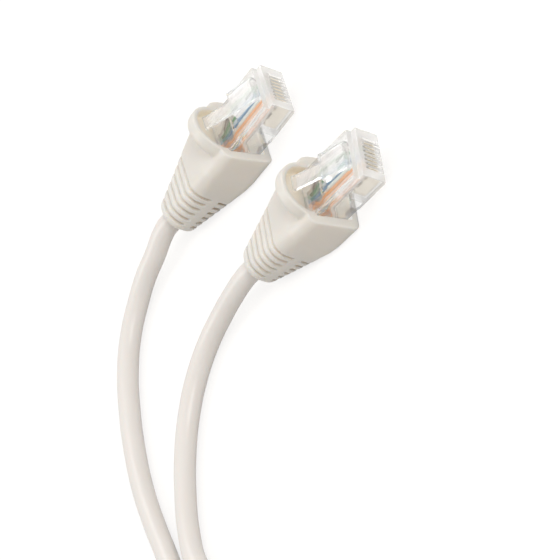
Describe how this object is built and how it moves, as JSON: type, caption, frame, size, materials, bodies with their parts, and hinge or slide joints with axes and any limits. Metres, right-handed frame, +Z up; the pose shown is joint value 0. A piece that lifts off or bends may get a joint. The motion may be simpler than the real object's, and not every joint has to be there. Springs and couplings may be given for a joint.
{
  "type": "ethernet patch cable",
  "caption": "Round network patch lead, with a clear modular plug under a slip-on boot at each end and the spare length tied in a coil.",
  "frame": {"origin": "on the floor under the middle of the two plugs and their boots, leaving out the cable and its coil", "axes": "+X the way the nose of plug a points, +Z up, away from the surface that the boots lie on"},
  "size_m": [0.09, 0.1758, 0.0153],
  "materials": {
    "plug_clear": "clear moulded polycarbonate",
    "boot": "satin moulded soft plastic",
    "jacket": "satin extruded soft plastic",
    "tie": "satin",
    "contact": "gold-plated",
    "copper": "bare copper",
    "insulation_white_orange": "satin",
    "insulation_orange": "satin",
    "insulation_white_green": "satin",
    "insulation_blue": "satin",
    "insulation_white_blue": "satin",
    "insulation_green": "satin",
    "insulation_white_brown": "satin",
    "insulation_brown": "satin"
  },
  "bodies": {
    "cable": {"plug_housing_a": "plug_clear", "copper_cores_a": "copper", "contact_1_a": "contact", "contact_2_a": "contact", "contact_3_a": "contact", "contact_4_a": "contact", "contact_5_a": "contact", "contact_6_a": "contact", "contact_7_a": "contact", "contact_8_a": "contact", "wire_white_orange_a": "insulation_white_orange", "wire_orange_a": "insulation_orange", "wire_white_green_a": "insulation_white_green", "wire_blue_a": "insulation_blue", "wire_white_blue_a": "insulation_white_blue", "wire_green_a": "insulation_green", "wire_white_brown_a": "insulation_white_brown", "wire_brown_a": "insulation_brown", "plug_housing_b": "plug_clear", "copper_cores_b": "copper", "contact_1_b": "contact", "contact_2_b": "contact", "contact_3_b": "contact", "contact_4_b": "contact", "contact_5_b": "contact", "contact_6_b": "contact", "contact_7_b": "contact", "contact_8_b": "contact", "wire_white_orange_b": "insulation_white_orange", "wire_orange_b": "insulation_orange", "wire_white_green_b": "insulation_white_green", "wire_blue_b": "insulation_blue", "wire_white_blue_b": "insulation_white_blue", "wire_green_b": "insulation_green", "wire_white_brown_b": "insulation_white_brown", "wire_brown_b": "insulation_brown", "cable_jacket_a": "jacket", "cable_jacket_b": "jacket", "cable_coil": "jacket", "coil_tie_1": "tie", "coil_tie_2": "tie"},
    "latch_a": {"plug_latch_a": "plug_clear"},
    "latch_b": {"plug_latch_b": "plug_clear"},
    "boot_a": {"boot_a": "boot"},
    "boot_b": {"boot_b": "boot"}
  },
  "joints": [
    {"name": "latch_a_press", "type": "hinge", "parent": "cable", "child": "latch_a", "pos_m": [0.0074, 0.0176, 0.00855], "axis": [0, -1, 0], "range_deg": [0, 12], "stiffness_Nm_per_rad": 0.05},
    {"name": "latch_b_press", "type": "hinge", "parent": "cable", "child": "latch_b", "pos_m": [0.02482, -0.0192, 0.00855], "axis": [-0.1513, -0.9885, 0], "range_deg": [0, 12], "stiffness_Nm_per_rad": 0.05},
    {"name": "boot_a_slide", "type": "slide", "parent": "cable", "child": "boot_a", "axis": [-1, 0, 0], "range_m": [0, 0.003]},
    {"name": "boot_b_slide", "type": "slide", "parent": "cable", "child": "boot_b", "axis": [-0.9885, 0.1513, 0], "range_m": [0, 0.003]}
  ]
}
